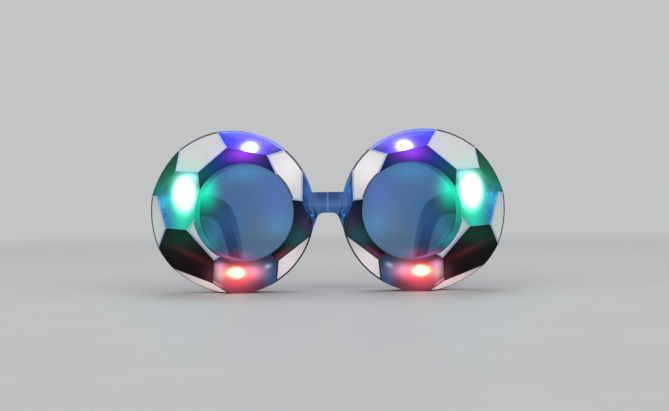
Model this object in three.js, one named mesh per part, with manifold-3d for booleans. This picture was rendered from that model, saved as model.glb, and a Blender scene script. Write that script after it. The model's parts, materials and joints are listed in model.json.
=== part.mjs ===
// Light-up party glasses: two round faceted ball fronts joined by a bridge, with a tinted lens, a back cover,
// a small lamp circuit and a folding temple on each side. Millimetres, +Z up, the fronts face -Y.
// Left means the -X side, as seen from in front of the glasses.
import * as THREE from 'three';
import { mergeVertices } from 'three/addons/utils/BufferGeometryUtils.js';
import Module from 'manifold-3d';

const wasm = await Module();
wasm.setup();

// Fits shared by all pieces
const gap = 0.3;
const overrun = 2;

// Segment counts
const rimSegments = 60;
const roundSegments = 24;
const smallSegments = 12;
const lampSegments = 16;
const leadSteps = 18;
const leadSides = 6;
const cornerSteps = 3;

// Ball fronts
const rimRadius = 34.6;
const ballSpacing = 80.4;
const shellWall = 1.6;
const chartRise = 4;
const blankDepth = 24;
const restFlatDepth = 0.5;

// Lens opening, its collar and the lens. The nose band is the ring's width on the nose side.
const openingOffset = 5.6;
const noseBand = 8.7;
const collarWall = 2.1;
const lensLap = 1;
const lensThickness = 1.2;
const lensBulge = 1.5;
const lensRings = 3;
const lensSegments = 36;

// Bridge between the ball fronts
const bridgeSink = 3.4;
const bridgeTop = 8.2;
const bridgeFoot = 9.6;
const bridgeFront = 7.4;
const bridgeBack = 1;
const bridgeSlopeRise = 4.1;
const bridgeSlopeDepth = 2.4;
const notchTopHalfWidth = 3.9;
const notchTopDrop = 0.6;
const notchFlare = 21;
const notchCorner = 2.4;
const notchBevelWidth = 3.2;
const notchBevelDepth = 2.6;

// Back cover
const coverThickness = 2;
const coverOpeningMargin = 0.1;
const spigotWall = 1.2;
const spigotDepth = 2;

// Cover screws and the bosses that take them
const coverScrewShank = 0.8;
const coverScrewLength = 6;
const screwHeadRadius = 1.7;
const screwHeadHeight = 0.9;
const screwSlotWidth = 0.5;
const screwSlotDepth = 0.45;
const screwSlotShare = 0.7;
const bossRadius = 2.4;
const bossHoleDepth = 6.3;
const coverScrewPlaces = [
  { name: 'top', angle: 118, inset: 5.6 },
  { name: 'inner', angle: 33, inset: 3.8 },
  { name: 'bottom', angle: -38, inset: 3.8 },
];

// Lamps, their seats and the circuit board
const ledRadius = 2.5;
const ledFlangeRadius = 2.9;
const ledFlangeHeight = 1;
const ledHeight = 5.4;
const ledRings = 4;
const ledSeatWall = 1.2;
const ledSeatBore = 2;
const ledNotchWidth = 2.6;
const ledLegReach = 4.3;
const ledLegWidth = 0.5;
const ledLegSpacing = 1.27;
const ledLegDrop = 0.9;
const topLedPlace = { angle: 74.7, inset: 6.1, turn: 180, clearance: 0.54 };
const bottomLedPlace = { angle: -87.1, inset: 9, turn: 184, clearance: 0.54 };
const outerLedPlace = { angle: 156, inset: 12.8, turn: 0, clearance: 0.84 };
const boardThickness = 1;
const boardRimInset = 3;
const boardInnerClearance = 0.5;
const boardStart = 128;
const boardEnd = 186;
const boardPostRadius = 1.9;
const boardPostPlace = { angle: 132, inset: 5.5 };
const boardScrewPlace = { angle: 168, inset: 5.8 };
const boardScrewShank = 0.7;
const boardScrewLength = 4.2;
const boardScrewHead = 1.5;

// Switch and push button
const buttonPlace = { angle: 146, inset: 7.3 };
const switchWidth = 6;
const switchStubRadius = 1.6;
const switchStubHeight = 0.5;
const buttonRadius = 2.6;
const buttonFlangeRadius = 3.4;
const buttonFlangeThickness = 0.8;
const buttonProud = 1.2;
const buttonDish = 0.35;
const buttonRoom = 0.6;

// Battery, its pocket, contacts and door
const cellRadius = 6.25;
const cellThickness = 2.5;
const cellCapRadius = 5.1;
const cellStep = 0.3;
const pocketPlace = { angle: 210, inset: 9.4 };
const pocketWall = 0.9;
const pocketFloorThickness = 0.8;
const contactRoom = 2;
const contactThickness = 0.3;
const contactWidth = 3;
const contactTail = 12;
const fingerReach = 1.5;
const doorThickness = 1;
const doorMargin = 0.9;
const doorTabReach = 9.4;
const doorTabRadius = 2.6;
const doorScrewLength = 4.4;
const doorBossDepth = 5.2;

// Two-core lead to the lamps that are off the board
const leadRadius = 0.55;

// Hinge
const hingeInset = 5.1;
const hingeRise = 5;
const hingeBack = 7;
const lugRadius = 2.6;
const lugHeight = 2.8;
const knuckleHeight = 6;
const pinRadius = 0.9;
const pinHeadRadius = 1.7;
const pinHeadHeight = 0.9;

// Temple
const templeLength = 139;
const templeThickness = 3.2;
const templeHeight = 12.2;
const templeOffset = 2.8;
const templeBow = 21;
const templeCorner = 0.9;

const radians = THREE.MathUtils.degToRad;
const rimHeight = rimRadius - restFlatDepth;
const openingRadius = rimRadius - openingOffset - noseBand;
const lensRadius = openingRadius + lensLap;
const coverOpeningRadius = openingRadius + coverOpeningMargin;
const bridgeHalfWidth = ballSpacing / 2 - rimRadius + bridgeSink;
const hingeX = hingeInset - rimRadius;
const collarRadius = openingRadius + collarWall;
const seatDepth = lensThickness + gap;
const coverFront = gap;
const coverBack = gap + coverThickness;
const blankSide = rimRadius + rimRadius + blankDepth;
const cellBack = coverBack - doorThickness - gap;
const pocketFloorBack = cellBack - cellThickness - contactRoom;
const stripHalf = contactThickness / 2;
const lugReach = knuckleHeight / 2 + gap + lugHeight;

// Materials
function finish(color, roughness, metalness = 0, opacity = 1) {
  return new THREE.MeshStandardMaterial({ color, roughness, metalness, opacity, transparent: opacity < 1 });
}
const finishes = {
  clearBlue: () => finish(0x2f6fb4, 0.08, 0, 0.55),
  lensTint: () => finish(0x5b7fa6, 0.05, 0, 0.5),
  darkBlue: () => finish(0x143a6e, 0.2, 0, 0.85),
  board: () => finish(0x1f6b3a, 0.5),
  blackPlastic: () => finish(0x151515, 0.45),
  buttonWhite: () => finish(0xd9dde2, 0.5),
  violetLamp: () => finish(0x7a4dff, 0.1, 0, 0.8),
  greenLamp: () => finish(0x19e08a, 0.1, 0, 0.8),
  redLamp: () => finish(0xff4a3a, 0.1, 0, 0.8),
  steel: () => finish(0xb9bcc0, 0.3, 1),
  brass: () => finish(0xc9a85a, 0.35, 1),
  leadCover: () => finish(0xb02222, 0.5),
};

// Turns a closed three.js geometry into a solid that can be joined and cut
function solid(geometry) {
  const bare = geometry.clone();
  bare.deleteAttribute('normal');
  bare.deleteAttribute('uv');
  const merged = mergeVertices(bare);
  return new wasm.Manifold(new wasm.Mesh({
    numProp: 3,
    vertProperties: new Float32Array(merged.attributes.position.array),
    triVerts: new Uint32Array(merged.index.array),
  }));
}

function geometryOf(body) {
  const mesh = body.getMesh();
  const geometry = new THREE.BufferGeometry();
  geometry.setAttribute('position', new THREE.BufferAttribute(new Float32Array(mesh.vertProperties), 3));
  geometry.setIndex(new THREE.BufferAttribute(new Uint32Array(mesh.triVerts), 1));
  return geometry;
}

function joined(bodies) {
  return bodies.reduce((whole, body) => whole.add(body));
}

function without(body, cutters) {
  return cutters.reduce((rest, cutter) => rest.subtract(cutter), body);
}

// The other side's piece: mirrored across the plane between the lenses, with its faces turned back outwards
function mirrored(geometry) {
  const twin = geometry.clone();
  twin.applyMatrix4(new THREE.Matrix4().makeScale(-1, 1, 1));
  const order = twin.index.array;
  for (let i = 0; i < order.length; i += 3) {
    [order[i + 1], order[i + 2]] = [order[i + 2], order[i + 1]];
  }
  return twin;
}

// Pieces of one side are drawn about their ball's middle on the front moulding's back plane, with x towards
// the nose, y towards the back and z up. This puts a piece of the -X side in its place.
function placed(geometry) {
  return geometry.clone().translate(-ballSpacing / 2, 0, rimHeight);
}

// Round bar along y from one depth to another, with its middle at (x, z)
function bar(x, z, radius, fromY, toY, segments = smallSegments) {
  const length = toY - fromY;
  const geometry = new THREE.CylinderGeometry(radius, radius, length, segments);
  return solid(geometry.translate(x, fromY + length / 2, z));
}

// Round bar that stands along z
function post(x, y, radius, fromZ, toZ, segments = smallSegments) {
  const length = toZ - fromZ;
  const geometry = new THREE.CylinderGeometry(radius, radius, length, segments);
  return solid(geometry.rotateX(Math.PI / 2).translate(x, y, fromZ + length / 2));
}

function block(fromX, toX, fromY, toY, fromZ, toZ) {
  const geometry = new THREE.BoxGeometry(toX - fromX, toY - fromY, toZ - fromZ);
  return solid(geometry.translate((fromX + toX) / 2, (fromY + toY) / 2, (fromZ + toZ) / 2));
}

// A block given about (x, z) and turned in the front view by an angle in degrees
function turnedBlock(x, z, turn, fromU, toU, fromY, toY, width) {
  const geometry = new THREE.BoxGeometry(toU - fromU, toY - fromY, width);
  geometry.translate((fromU + toU) / 2, (fromY + toY) / 2, 0);
  geometry.rotateY(-radians(turn)).translate(x, 0, z);
  return solid(geometry);
}

function polar(angle, reach) {
  return { x: reach * Math.cos(radians(angle)), z: reach * Math.sin(radians(angle)) };
}

// An outline drawn in the front view, as a plate from one depth to another
function plate(shape, fromY, toY, curveSegments = rimSegments) {
  const geometry = new THREE.ExtrudeGeometry(shape, {
    depth: toY - fromY,
    bevelEnabled: false,
    curveSegments,
  });
  return solid(geometry.rotateX(Math.PI / 2).translate(0, toY, 0));
}

// Facet chart of one ball front, read as a gem cutter's chart is: the compass angle that a facet faces
// (0 towards the nose, 90 up), how far it leans from straight ahead, and its distance from the middle of the
// ball as a share of the rim radius. Together they make a football pattern of pentagons and hexagons.
const facetShares = [
  { facing: -121, lean: 8, distanceShare: 0.398 },
  { facing: 118, lean: 31, distanceShare: 0.597 },
  { facing: 33, lean: 27, distanceShare: 0.555 },
  { facing: -37, lean: 38, distanceShare: 0.669 },
  { facing: -116, lean: 63, distanceShare: 0.864 },
  { facing: -174, lean: 43, distanceShare: 0.734 },
  { facing: 166, lean: 18, distanceShare: 0.466 },
  { facing: -134, lean: 27, distanceShare: 0.535 },
  { facing: -76, lean: 23, distanceShare: 0.49 },
  { facing: -21, lean: 22, distanceShare: 0.488 },
  { facing: 58, lean: 8, distanceShare: 0.357 },
  { facing: 75, lean: 41, distanceShare: 0.692 },
  { facing: 9, lean: 58, distanceShare: 0.852 },
  { facing: 148, lean: 49, distanceShare: 0.787 },
];

// Places in the front view, each an angle about the ball and an inset from its rim
function spotOf({ angle, inset }) {
  return polar(angle, rimRadius - inset);
}

// A lamp's base height: as far forwards as its dome can go under the facets with a clearance
function lampOf(place) {
  const spot = spotOf(place);
  const heights = facetShares.map(({ facing, lean, distanceShare }) => {
    const slope = polar(facing, Math.sin(radians(lean)));
    const room = distanceShare * rimRadius - shellWall - ledRadius - place.clearance;
    return chartRise + (room - slope.x * spot.x - slope.z * spot.z) / Math.cos(radians(lean));
  });
  return { ...spot, turn: place.turn, base: Math.min(...heights) + ledRadius - ledHeight };
}

const topLed = lampOf(topLedPlace);
const bottomLed = lampOf(bottomLedPlace);
const outerLed = lampOf(outerLedPlace);
const boardFront = outerLed.base - gap;
const boardHeight = boardFront - boardThickness;
const switchDepth = boardHeight - gap - switchStubHeight - buttonRoom - buttonFlangeThickness;
const screwSpots = coverScrewPlaces.map((place) => ({ name: place.name, ...spotOf(place) }));
const boardScrew = spotOf(boardScrewPlace);
const boardPost = spotOf(boardPostPlace);
const button = spotOf(buttonPlace);
const pocket = spotOf(pocketPlace);
const pocketTurn = pocketPlace.angle - 90;
const pocketBore = cellRadius + gap;
const doorRadius = pocketBore + doorMargin;
const doorTab = {
  x: pocket.x - doorTabReach * Math.cos(radians(pocketTurn)),
  z: pocket.z - doorTabReach * Math.sin(radians(pocketTurn)),
};

// The faceted ball front as a full block, with every face set in by the inset, from a back plane forwards
function facetedBlock(inset, backY) {
  const blank = bar(0, 0, rimRadius - inset, -blankDepth, backY, rimSegments);
  const cutters = facetShares.map(({ facing, lean, distanceShare }) => {
    const tilt = radians(lean);
    const turn = radians(facing);
    const outward = new THREE.Vector3(
      Math.sin(tilt) * Math.cos(turn), -Math.cos(tilt), Math.sin(tilt) * Math.sin(turn));
    const reach = distanceShare * rimRadius - inset + blankSide / 2;
    const geometry = new THREE.BoxGeometry(blankSide, blankSide, blankSide);
    geometry.applyQuaternion(new THREE.Quaternion().setFromUnitVectors(new THREE.Vector3(0, 0, 1), outward));
    geometry.translate(outward.x * reach, outward.y * reach - chartRise, outward.z * reach);
    return solid(geometry);
  });
  return without(blank, cutters);
}

function belowRest() {
  return block(-rimRadius, rimRadius, -blankDepth, blankDepth, -rimRadius - overrun, -rimHeight);
}

// Screw with its head towards +y: the head's flat is at y, the shank points forwards
function screw(x, z, y, shankRadius, length, headRadius) {
  const slot = screwSlotShare * headRadius;
  const half = screwSlotWidth / 2;
  return without(
    bar(x, z, shankRadius, y - length, y - screwHeadHeight / 2)
      .add(bar(x, z, headRadius, y - screwHeadHeight, y)),
    [
      block(x - slot, x + slot, y - screwSlotDepth, y + overrun, z - half, z + half),
      block(x - half, x + half, y - screwSlotDepth, y + overrun, z - slot, z + slot),
    ]);
}

// Front moulding: two faceted shells open to the back, each with a collar round its lens opening and three
// screw bosses, joined by the bridge
function ballOuter() {
  return facetedBlock(0, 0).subtract(belowRest());
}

function ballHollows() {
  const kept = [
    bar(openingOffset, 0, collarRadius, -blankDepth - overrun, overrun + overrun, rimSegments),
    ...screwSpots.map(({ x, z }) => bar(x, z, bossRadius, -blankDepth - overrun, overrun + overrun)),
  ];
  return [
    without(facetedBlock(shellWall, overrun), kept),
    bar(openingOffset, 0, openingRadius, -blankDepth - overrun, overrun, rimSegments),
    bar(openingOffset, 0, lensRadius + gap, -seatDepth, overrun, rimSegments),
    ...screwSpots.map(({ x, z }) => bar(x, z, coverScrewShank + gap, -bossHoleDepth, overrun)),
  ];
}

// Nose notch in the front view, about the middle of the bridge, grown outwards by an allowance
function notchShape(allowance) {
  const top = -notchTopDrop + allowance;
  const half = notchTopHalfWidth + allowance;
  const foot = -bridgeFoot - overrun;
  const spread = (top - foot) * Math.tan(radians(notchFlare));
  const corner = notchCorner + allowance / 2;
  const shape = new THREE.Shape();
  shape.moveTo(-half - spread, foot);
  shape.lineTo(half + spread, foot);
  shape.lineTo(half + corner * Math.tan(radians(notchFlare)), top - corner);
  shape.quadraticCurveTo(half, top, half - corner, top);
  shape.lineTo(corner - half, top);
  shape.quadraticCurveTo(-half, top, -half - corner * Math.tan(radians(notchFlare)), top - corner);
  shape.closePath();
  return shape;
}

// Wedge that slopes the notch's edge back from the bridge's front face
function notchBevel() {
  const wide = notchShape(notchBevelWidth).getPoints(smallSegments);
  const narrow = notchShape(0).getPoints(smallSegments);
  const front = -bridgeFront;
  const far = wide.map((point, i) => point.clone().lerp(narrow[i], -overrun / notchBevelDepth));
  return ringed([
    far.map((point) => new THREE.Vector3(point.x, front - overrun, point.y)),
    narrow.map((point) => new THREE.Vector3(point.x, front + notchBevelDepth, point.y)),
  ]);
}

// Closed solid through rings of equally many points, each ring anticlockwise as seen from the front
function ringed(rings) {
  const count = rings[0].length;
  const faces = [];
  for (let ring = 0; ring + 1 < rings.length; ring += 1) {
    for (let i = 0; i < count; i += 1) {
      const a = ring * count + i;
      const b = ring * count + (i + 1) % count;
      faces.push(a, b + count, b, a, a + count, b + count);
    }
  }
  const end = (rings.length - 1) * count;
  const outline = rings[0].map((point) => new THREE.Vector2(point.x, point.z));
  THREE.ShapeUtils.triangulateShape(outline, []).forEach(([a, b, c]) => {
    faces.push(a, b, c);
    faces.push(end + a, end + c, end + b);
  });
  const geometry = new THREE.BufferGeometry().setFromPoints(rings.flat());
  geometry.setIndex(faces);
  return solid(geometry);
}

function bridge() {
  const outline = new THREE.Shape();
  outline.moveTo(-bridgeHalfWidth, -bridgeFoot);
  outline.lineTo(bridgeHalfWidth, -bridgeFoot);
  outline.lineTo(bridgeHalfWidth, bridgeTop);
  outline.lineTo(-bridgeHalfWidth, bridgeTop);
  outline.closePath();
  const topSlope = new THREE.BoxGeometry(blankSide, blankSide, blankSide);
  topSlope.translate(0, 0, blankSide / 2).rotateX(Math.atan2(bridgeSlopeRise, bridgeSlopeDepth));
  topSlope.translate(0, bridgeSlopeDepth / 2 - bridgeFront, bridgeTop - bridgeSlopeRise / 2);
  return without(plate(outline, -bridgeFront, -bridgeBack), [
    plate(notchShape(0), -bridgeFront - overrun, overrun, smallSegments),
    notchBevel(),
    solid(topSlope),
  ]);
}

function frontFrame() {
  const left = geometryOf(ballOuter());
  const outers = [placed(left), mirrored(placed(left))].map(solid);
  const span = solid(geometryOf(bridge()).translate(0, 0, rimHeight));
  const hollows = ballHollows().map((body) => placed(geometryOf(body)));
  const cutters = [...hollows, ...hollows.map(mirrored)].map(solid);
  return geometryOf(without(joined([...outers, span]), cutters));
}

// Lens: a shallow dome with a flat edge that lies on the collar's ledge
function lens() {
  const edge = openingRadius - gap;
  const profile = [new THREE.Vector2(0, lensBulge)];
  for (let ring = 1; ring <= lensRings; ring += 1) {
    const share = ring / lensRings;
    profile.push(new THREE.Vector2(edge * share, lensBulge * (1 - share * share)));
  }
  profile.push(new THREE.Vector2(lensRadius, 0));
  profile.push(new THREE.Vector2(lensRadius, -lensThickness));
  for (let ring = lensRings; ring >= 0; ring -= 1) {
    const share = ring / lensRings;
    profile.push(new THREE.Vector2(edge * share, lensBulge * (1 - share * share) - lensThickness));
  }
  const geometry = new THREE.LatheGeometry(profile.reverse(), lensSegments);
  geometry.rotateX(Math.PI).translate(openingOffset, gap - seatDepth, 0);
  return geometryOf(solid(geometry));
}

// Back cover: a plate with the lens opening, a locating rib, lamp seats, board posts, the battery pocket, the
// button hole, screw holes and two hinge lugs
function ledSeat(led) {
  const top = gap - led.base;
  const radius = ledSeatBore + ledSeatWall;
  const notch = turnedBlock(
    led.x, led.z, led.turn, 0, radius + overrun, top - overrun, coverFront, ledNotchWidth);
  return without(bar(led.x, led.z, radius, top, coverFront + gap), [
    bar(led.x, led.z, ledSeatBore, top - overrun, coverFront),
    notch,
  ]);
}

function hingeLug(fromZ, toZ) {
  return post(hingeX, hingeBack, lugRadius, fromZ, toZ, roundSegments)
    .add(block(hingeX - lugRadius, hingeX + lugRadius, coverBack - gap, hingeBack, fromZ, toZ));
}

function backCover() {
  const spigotRadius = rimRadius - shellWall - gap;
  const spigot = bar(0, 0, spigotRadius, -spigotDepth, coverFront + gap, rimSegments)
    .subtract(bar(0, 0, spigotRadius - spigotWall, -spigotDepth - overrun, coverFront, rimSegments))
    .intersect(facetedBlock(shellWall + gap, coverBack));
  const spigotClear = without(spigot, [
    ...screwSpots.map(({ x, z }) => bar(x, z, bossRadius + gap, -blankDepth, coverFront)),
    bar(pocket.x, pocket.z, pocketBore, -blankDepth, coverFront, roundSegments),
  ]);
  const fittings = joined([
    spigotClear,
    ledSeat(topLed),
    ledSeat(bottomLed),
    bar(boardScrew.x, boardScrew.z, boardPostRadius, gap - boardHeight, coverFront + gap),
    bar(boardPost.x, boardPost.z, boardPostRadius, gap - boardHeight, coverFront + gap),
    bar(pocket.x, pocket.z, pocketBore + pocketWall, pocketFloorBack - pocketFloorThickness,
      coverFront + gap, roundSegments),
    bar(doorTab.x, doorTab.z, bossRadius, -doorBossDepth, coverFront + gap),
  ]).intersect(facetedBlock(shellWall + gap, coverBack))
    .subtract(bar(openingOffset, 0, collarRadius + gap, -blankDepth, coverFront, rimSegments));
  const lowLug = hingeRise - lugReach;
  const highLug = hingeRise + lugReach;
  const body = joined([
    bar(0, 0, rimRadius, coverFront, coverBack, rimSegments),
    fittings,
    hingeLug(lowLug, lowLug + lugHeight),
    hingeLug(highLug - lugHeight, highLug),
  ]);
  const headSeat = coverBack - screwHeadHeight - gap;
  const slotHalf = contactWidth / 2 + gap;
  return geometryOf(without(body, [
    belowRest(),
    bar(openingOffset, 0, coverOpeningRadius, -blankDepth, blankDepth, rimSegments),
    ...screwSpots.map(({ x, z }) => bar(x, z, coverScrewShank + gap, coverFront - overrun, blankDepth)),
    ...screwSpots.map(({ x, z }) => bar(x, z, screwHeadRadius + gap, headSeat, blankDepth)),
    bar(boardScrew.x, boardScrew.z, boardScrewShank + gap, -blankDepth, coverFront),
    bar(button.x, button.z, buttonRadius + gap, coverFront - overrun, blankDepth, roundSegments),
    bar(pocket.x, pocket.z, pocketBore, pocketFloorBack, blankDepth, roundSegments),
    keyhole(gap, coverBack - doorThickness - gap, coverBack + overrun),
    bar(doorTab.x, doorTab.z, coverScrewShank + gap, -doorBossDepth + gap, blankDepth),
    turnedBlock(pocket.x, pocket.z, pocketTurn, pocketBore - gap, pocketBore + pocketWall + overrun,
      pocketFloorBack - gap, coverFront, slotHalf + slotHalf),
    post(hingeX, hingeBack, pinRadius + gap, lowLug - overrun, highLug + overrun),
  ]));
}

// Circuit board: a kidney that follows the collar inside and the rim outside
function circuitBoard() {
  const inner = collarRadius + boardInnerClearance;
  const shape = new THREE.Shape();
  const steps = roundSegments;
  for (let i = 0; i <= steps; i += 1) {
    const spot = polar(boardStart + (boardEnd - boardStart) * i / steps, rimRadius - boardRimInset);
    if (i === 0) shape.moveTo(spot.x, spot.z);
    else shape.lineTo(spot.x, spot.z);
  }
  for (let i = steps; i >= 0; i -= 1) {
    const turn = radians(boardStart + (boardEnd - boardStart) * i / steps);
    const along = openingOffset * Math.cos(turn);
    const reach = along + Math.sqrt(inner * inner - openingOffset * openingOffset + along * along);
    shape.lineTo(reach * Math.cos(turn), reach * Math.sin(turn));
  }
  shape.closePath();
  const hole = bar(boardScrew.x, boardScrew.z, boardScrewShank + gap, -blankDepth, overrun);
  return geometryOf(plate(shape, -boardFront, -boardHeight).subtract(hole));
}

function boardScrewPiece() {
  const head = -boardFront - gap - screwHeadHeight;
  const piece = geometryOf(screw(0, 0, 0, boardScrewShank, boardScrewLength, boardScrewHead));
  return piece.rotateX(Math.PI).translate(boardScrew.x, head, boardScrew.z);
}

// Lamp: a round lens body with a flange at its base, domed towards the front
function led(spot) {
  const profile = [new THREE.Vector2(0, 0), new THREE.Vector2(ledFlangeRadius, 0)];
  profile.push(new THREE.Vector2(ledFlangeRadius, ledFlangeHeight));
  profile.push(new THREE.Vector2(ledRadius, ledFlangeHeight));
  for (let ring = 0; ring <= ledRings; ring += 1) {
    const turn = Math.PI / 2 * ring / ledRings;
    const height = ledHeight - ledRadius * (1 - Math.sin(turn));
    profile.push(new THREE.Vector2(ledRadius * Math.cos(turn), height));
  }
  profile[profile.length - 1].x = 0;
  const geometry = new THREE.LatheGeometry(profile, lampSegments);
  return solid(geometry.rotateX(Math.PI).translate(spot.x, -spot.base, spot.z));
}

// Lamp off the board: its two legs bend sideways behind it, out through the seat's notch
function leggedLed(spot) {
  const aside = polar(spot.turn + 90, ledLegSpacing / 2);
  const half = ledLegWidth / 2;
  const bend = ledLegDrop - spot.base;
  const legs = [1, -1].flatMap((sign) => {
    const x = spot.x + sign * aside.x;
    const z = spot.z + sign * aside.z;
    return [
      turnedBlock(x, z, spot.turn, -half, half, -spot.base - half, bend + half, ledLegWidth),
      turnedBlock(x, z, spot.turn, -half, ledLegReach, bend - half, bend + half, ledLegWidth),
    ];
  });
  return geometryOf(joined([led(spot), ...legs]));
}

// Switch on the board's back face, with the stub that the button presses
function tactSwitch() {
  const face = gap - boardHeight;
  const half = switchWidth / 2;
  return geometryOf(
    block(button.x - half, button.x + half, face, face + switchDepth, button.z - half, button.z + half)
      .add(bar(button.x, button.z, switchStubRadius, face + switchDepth - gap,
        face + switchDepth + switchStubHeight)));
}

// Push button: a dished cap in the cover's hole, held in by its flange
function pushButton() {
  const capBack = coverBack + buttonProud;
  return geometryOf(
    bar(button.x, button.z, buttonFlangeRadius, -buttonFlangeThickness, 0, roundSegments)
      .add(bar(button.x, button.z, buttonRadius, -buttonFlangeThickness / 2, capBack, roundSegments))
      .subtract(bar(button.x, button.z, buttonRadius - buttonDish - buttonDish, capBack - buttonDish,
        capBack + overrun, roundSegments)));
}

function coinCell() {
  const cellFront = cellBack - cellThickness;
  return geometryOf(
    bar(pocket.x, pocket.z, cellRadius, cellFront + cellStep, cellBack, roundSegments)
      .add(bar(pocket.x, pocket.z, cellCapRadius, cellFront, cellBack - cellStep, roundSegments)));
}

// Keyhole outline of the battery door, grown by an allowance: a round over the cell and a tab for its screw
function keyhole(allowance, fromY, toY) {
  const round = doorRadius + allowance;
  const tab = doorTabRadius + allowance;
  const neck = Math.asin(tab / round);
  const shape = new THREE.Shape();
  shape.absarc(0, 0, round, neck - Math.PI, Math.PI - neck, false);
  shape.absarc(-doorTabReach, 0, tab, Math.PI / 2, Math.PI * 1.5, false);
  shape.closePath();
  const geometry = new THREE.ExtrudeGeometry(shape, {
    depth: toY - fromY,
    bevelEnabled: false,
    curveSegments: roundSegments,
  });
  geometry.rotateX(Math.PI / 2).translate(0, toY, 0);
  return solid(geometry.rotateY(-radians(pocketTurn)).translate(pocket.x, 0, pocket.z));
}

function batteryDoor() {
  const front = coverBack - doorThickness;
  const hole = bar(doorTab.x, doorTab.z, coverScrewShank + gap, front - overrun, coverBack + overrun);
  return geometryOf(keyhole(0, front, coverBack).subtract(hole));
}

// Strip of spring metal bent along a line of points (reach from the pocket's middle, depth)
function strip(points) {
  const half = contactThickness / 2;
  const outline = new THREE.Shape();
  const left = [];
  const right = [];
  points.forEach((point, i) => {
    const before = points[Math.max(i - 1, 0)];
    const after = points[Math.min(i + 1, points.length - 1)];
    const inward = new THREE.Vector2().subVectors(point, before).normalize();
    const outward = new THREE.Vector2().subVectors(after, point).normalize();
    const along = inward.add(outward).normalize();
    const straight = i === 0 ? outward : new THREE.Vector2().subVectors(point, before).normalize();
    const side = new THREE.Vector2(-along.y, along.x);
    const stretch = half / Math.max(Math.abs(side.dot(new THREE.Vector2(-straight.y, straight.x))), half);
    left.push(point.clone().addScaledVector(side, stretch));
    right.unshift(point.clone().addScaledVector(side, -stretch));
  });
  outline.setFromPoints([...left, ...right]);
  const geometry = new THREE.ExtrudeGeometry(outline, { depth: contactWidth, bevelEnabled: false });
  geometry.translate(0, 0, -contactWidth / 2);
  geometry.rotateY(-radians(pocketTurn)).translate(pocket.x, 0, pocket.z);
  return geometryOf(solid(geometry));
}

// Contact under the cell: a sprung finger that rises to the cell's cap, a flat on the pocket's floor, a tail
function minusContact() {
  const floor = pocketFloorBack + gap + stripHalf;
  const finger = cellBack - cellThickness - gap - stripHalf;
  return strip([
    new THREE.Vector2(-fingerReach, finger),
    new THREE.Vector2(fingerReach, finger),
    new THREE.Vector2(cellRadius - fingerReach, floor),
    new THREE.Vector2(contactTail - fingerReach, floor),
    new THREE.Vector2(contactTail, gap + stripHalf - boardHeight),
  ]);
}

// Contact at the cell's edge: it stands in the pocket's slot and bends over to the board
function plusContact() {
  const edge = cellRadius + gap + stripHalf;
  const shelf = cellBack - cellThickness + stripHalf;
  return strip([
    new THREE.Vector2(edge, coverFront - gap - stripHalf),
    new THREE.Vector2(edge, shelf - gap),
    new THREE.Vector2(contactTail - fingerReach, shelf - gap),
  ]);
}

// Two-core lead from just past the ends of its lamp's legs to just short of the board. Its route is given as
// places in the front view, with the rise as a share of the board's front height.
function lead(led, route) {
  const start = polar(led.turn, ledLegReach + gap);
  const points = route.map(({ angle, inset, riseShare }) => {
    const spot = spotOf({ angle, inset });
    return new THREE.Vector3(spot.x, -riseShare * boardFront, spot.z);
  });
  points.unshift(new THREE.Vector3(led.x + start.x, ledLegDrop - led.base, led.z + start.z));
  const section = new THREE.Shape();
  section.absarc(0, 0, leadRadius, 0, Math.PI * 2, false);
  const outline = section.getSpacedPoints(leadSides).slice(1);
  const geometry = new THREE.ExtrudeGeometry(new THREE.Shape(outline), {
    steps: leadSteps,
    extrudePath: new THREE.CatmullRomCurve3(points),
    bevelEnabled: false,
  });
  return geometryOf(solid(geometry));
}

const topLeadRoute = [
  { angle: 88, inset: 7.2, riseShare: 0.17 },
  { angle: 97.5, inset: 7.9, riseShare: 0.16 },
  { angle: 111.5, inset: 9.2, riseShare: 0.18 },
  { angle: 123.5, inset: 9.9, riseShare: 0.23 },
  { angle: 132, inset: 10.1, riseShare: 0.39 },
  { angle: 135.2, inset: 10.5, riseShare: 0.6 },
  { angle: 135.8, inset: 10.6, riseShare: 0.75 },
];
const bottomLeadRoute = [
  { angle: -101.3, inset: 8, riseShare: 0.52 },
  { angle: -109.7, inset: 7.8, riseShare: 0.71 },
  { angle: -122, inset: 9.2, riseShare: 1.23 },
  { angle: -140.2, inset: 11.2, riseShare: 1.32 },
  { angle: -160, inset: 11.2, riseShare: 1.36 },
  { angle: -171.9, inset: 10.4, riseShare: 1.34 },
  { angle: -174.9, inset: 10.1, riseShare: 1.23 },
  { angle: -175.3, inset: 10.1, riseShare: 1.07 },
];

// Hinge pin: a screw that drops through both lugs and the temple's knuckle
function hingePin() {
  const low = hingeRise - lugReach;
  const high = hingeRise + lugReach;
  return geometryOf(
    post(hingeX, hingeBack, pinRadius, low, high + gap + pinHeadHeight / 2)
      .add(post(hingeX, hingeBack, pinHeadRadius, high + gap, high + gap + pinHeadHeight))
      .subtract(block(hingeX - pinHeadRadius, hingeX + pinHeadRadius, hingeBack - screwSlotWidth / 2,
        hingeBack + screwSlotWidth / 2, high + gap + pinHeadHeight - screwSlotDepth,
        high + gap + pinHeadHeight + overrun)));
}

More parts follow.
